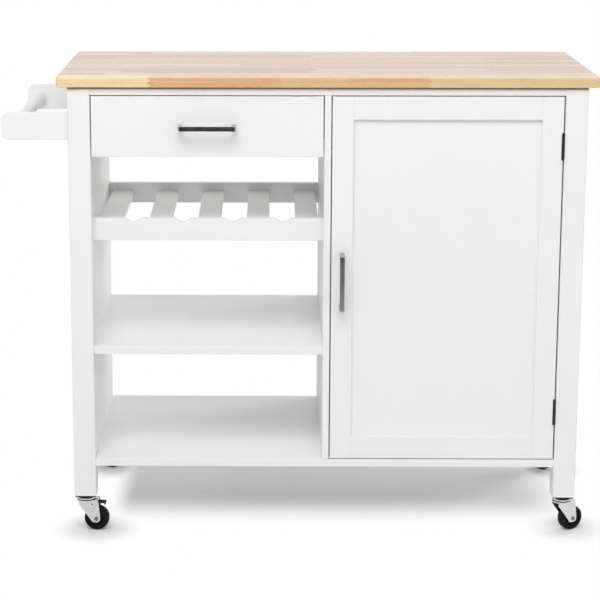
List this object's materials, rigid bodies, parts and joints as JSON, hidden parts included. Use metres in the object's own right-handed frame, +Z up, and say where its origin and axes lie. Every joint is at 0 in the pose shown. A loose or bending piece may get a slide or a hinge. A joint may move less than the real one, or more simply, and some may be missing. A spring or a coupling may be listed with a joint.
{
  "type": "kitchen island cart",
  "caption": "Rolling kitchen island with a butcher-block top, a drawer over a wine rack and open shelves, a panelled door and a towel bar at one end.",
  "frame": {"origin": "on the floor, under the middle of the overall box of the cart with its towel bar and pulls", "axes": "+X to the right end, +Y to the back, +Z up; the drawer and the door open towards -Y and the towel bar is at the -X end"},
  "size_m": [1.1435, 0.467, 0.915],
  "materials": {
    "butcher_block": "oiled, satin",
    "white_paint": "white satin lacquer on wood and board",
    "drawer_lining": "laminated board",
    "satin_nickel": "brushed dark nickel",
    "zinc_steel": "bright zinc plate",
    "hinge_steel": "satin nickel plate",
    "black_rubber": "semi-matte",
    "black_plastic": "matte"
  },
  "bodies": {
    "cart": {"worktop": "butcher_block", "leg_front_left": "white_paint", "leg_front_right": "white_paint", "leg_rear_left": "white_paint", "leg_rear_right": "white_paint", "left_side_panel": "white_paint", "right_side_panel": "white_paint", "front_apron": "white_paint", "rear_top_rail": "white_paint", "divider_panel": "white_paint", "back_panel": "white_paint", "bottom_board": "white_paint", "middle_shelf": "white_paint", "cabinet_shelf": "white_paint", "shelf_pins": "zinc_steel", "rack_front_rail": "white_paint", "rack_rear_rail": "white_paint", "rack_slats": "white_paint", "towel_arm_front": "white_paint", "towel_arm_rear": "white_paint", "towel_bar": "white_paint", "drawer_runners": "zinc_steel", "frame_hinge_leaves": "hinge_steel", "hinge_pins": "hinge_steel", "frame_hinge_screws": "hinge_steel", "door_catch": "black_plastic", "caster_plates": "zinc_steel", "caster_screws": "zinc_steel"},
    "drawer": {"drawer_front": "white_paint", "drawer_side_left": "drawer_lining", "drawer_side_right": "drawer_lining", "drawer_back": "drawer_lining", "drawer_bottom": "drawer_lining", "drawer_pull": "satin_nickel", "drawer_pull_screws": "zinc_steel", "drawer_slides": "zinc_steel"},
    "door": {"door_stile_left": "white_paint", "door_stile_right": "white_paint", "door_top_rail": "white_paint", "door_bottom_rail": "white_paint", "door_panel": "white_paint", "door_pull": "satin_nickel", "door_pull_screws": "zinc_steel", "door_hinge_leaves": "hinge_steel", "door_hinge_screws": "hinge_steel", "door_strike_plate": "hinge_steel"},
    "fork_front_left": {"caster_fork_front_left": "zinc_steel", "caster_axle_front_left": "zinc_steel"},
    "wheel_front_left": {"caster_wheel_front_left": "black_rubber"},
    "brake_front_left": {"brake_pedal_front_left": "black_plastic"},
    "fork_front_right": {"caster_fork_front_right": "zinc_steel", "caster_axle_front_right": "zinc_steel"},
    "wheel_front_right": {"caster_wheel_front_right": "black_rubber"},
    "fork_rear_left": {"caster_fork_rear_left": "zinc_steel", "caster_axle_rear_left": "zinc_steel"},
    "wheel_rear_left": {"caster_wheel_rear_left": "black_rubber"},
    "brake_rear_left": {"brake_pedal_rear_left": "black_plastic"},
    "fork_rear_right": {"caster_fork_rear_right": "zinc_steel", "caster_axle_rear_right": "zinc_steel"},
    "wheel_rear_right": {"caster_wheel_rear_right": "black_rubber"}
  },
  "joints": [
    {"name": "drawer_slide", "type": "slide", "parent": "cart", "child": "drawer", "axis": [0, -1, 0], "range_m": [0, 0.3]},
    {"name": "door_hinge", "type": "hinge", "parent": "cart", "child": "door", "pos_m": [0.50445, -0.2038, 0.51725], "axis": [0, 0, 1], "range_deg": [0, 165]},
    {"name": "swivel_front_left", "type": "hinge", "parent": "cart", "child": "fork_front_left", "pos_m": [-0.42225, -0.182, 0.064], "axis": [0, 0, 1], "continuous": true},
    {"name": "roll_front_left", "type": "hinge", "parent": "fork_front_left", "child": "wheel_front_left", "pos_m": [-0.4013, -0.18346, 0.025], "axis": [0.0698, 0.9976, 0], "continuous": true},
    {"name": "brake_front_left", "type": "hinge", "parent": "fork_front_left", "child": "brake_front_left", "pos_m": [-0.40928, -0.18291, 0.0555], "axis": [0.0698, 0.9976, 0], "range_deg": [0, 10]},
    {"name": "swivel_front_right", "type": "hinge", "parent": "cart", "child": "fork_front_right", "pos_m": [0.52875, -0.182, 0.064], "axis": [0, 0, 1], "continuous": true},
    {"name": "roll_front_right", "type": "hinge", "parent": "fork_front_right", "child": "wheel_front_right", "pos_m": [0.54746, -0.17247, 0.025], "axis": [-0.454, 0.891, 0], "continuous": true},
    {"name": "swivel_rear_left", "type": "hinge", "parent": "cart", "child": "fork_rear_left", "pos_m": [-0.42225, 0.204, 0.064], "axis": [0, 0, 1], "continuous": true},
    {"name": "roll_rear_left", "type": "hinge", "parent": "fork_rear_left", "child": "wheel_rear_left", "pos_m": [-0.40278, 0.19613, 0.025], "axis": [0.3746, 0.9272, 0], "continuous": true},
    {"name": "brake_rear_left", "type": "hinge", "parent": "fork_rear_left", "child": "brake_rear_left", "pos_m": [-0.4102, 0.19913, 0.0555], "axis": [0.3746, 0.9272, 0], "range_deg": [0, 10]},
    {"name": "swivel_rear_right", "type": "hinge", "parent": "cart", "child": "fork_rear_right", "pos_m": [0.52875, 0.204, 0.064], "axis": [0, 0, 1], "continuous": true},
    {"name": "roll_rear_right", "type": "hinge", "parent": "fork_rear_right", "child": "wheel_rear_right", "pos_m": [0.54595, 0.19195, 0.025], "axis": [0.5736, 0.8192, 0], "continuous": true}
  ]
}
